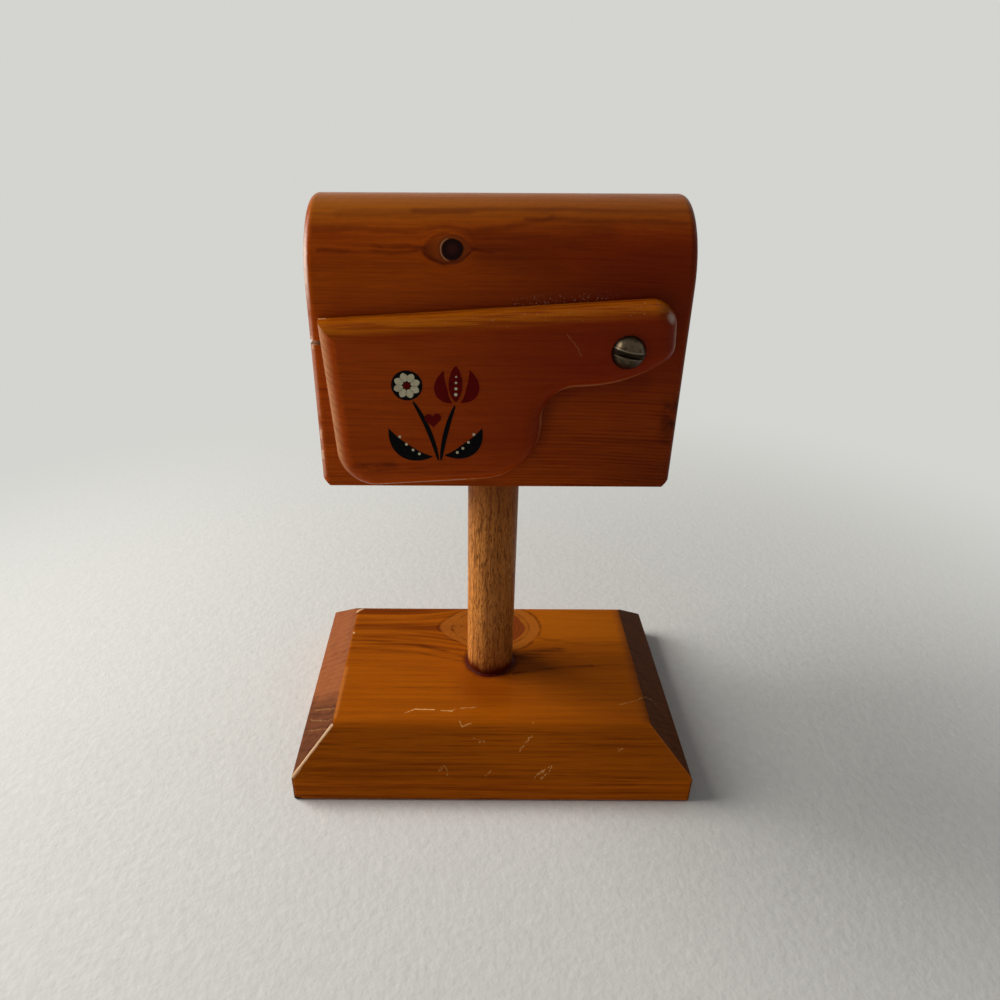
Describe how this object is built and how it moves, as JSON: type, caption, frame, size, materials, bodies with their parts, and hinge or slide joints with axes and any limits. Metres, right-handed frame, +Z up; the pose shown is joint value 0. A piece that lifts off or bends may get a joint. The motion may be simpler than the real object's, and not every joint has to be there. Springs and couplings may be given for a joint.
{
  "type": "stamp roll dispenser",
  "caption": "Wooden mailbox on a round post and bevelled base, with a flag-shaped swing cover over a round chamber that holds a roll of stamps and a saw slot that lets the strip out.",
  "frame": {"origin": "middle of the base's underside", "axes": "+Z up along the post, -Y towards the front with the swing cover, -X towards the end with the strip's slot"},
  "size_m": [0.12, 0.082, 0.1672],
  "materials": {
    "base_pine": "amber stain under gloss varnish",
    "dowel": "varnished, paler than the rest",
    "box_pine": "amber stain under gloss varnish",
    "cover_pine": "amber stain under gloss varnish",
    "screw_steel": "aged bare steel",
    "stamp_paper": "plain unprinted gummed paper"
  },
  "bodies": {
    "stand": {"base": "base_pine", "post": "dowel", "mailbox_body": "box_pine", "pivot_screw": "screw_steel"},
    "cover": {"swing_cover": "cover_pine"},
    "roll": {"stamp_roll": "stamp_paper"},
    "strip": {"stamp_strip": "stamp_paper"}
  },
  "joints": [
    {"name": "cover_swing", "type": "hinge", "parent": "stand", "child": "cover", "pos_m": [0.0305, -0.0225, 0.1348], "axis": [0, 1, 0], "continuous": true},
    {"name": "roll_spin", "type": "hinge", "parent": "stand", "child": "roll", "pos_m": [-0.022, -0.0023, 0.11815], "axis": [0, -1, 0], "range_deg": [0, 78.5]},
    {"name": "strip_pull", "type": "slide", "parent": "stand", "child": "strip", "axis": [-1, 0, 0], "range_m": [0, 0.022]}
  ],
  "couplings": [
    {"joint": "strip_pull", "follows": "roll_spin", "m_per_rad": 0.01605}
  ]
}
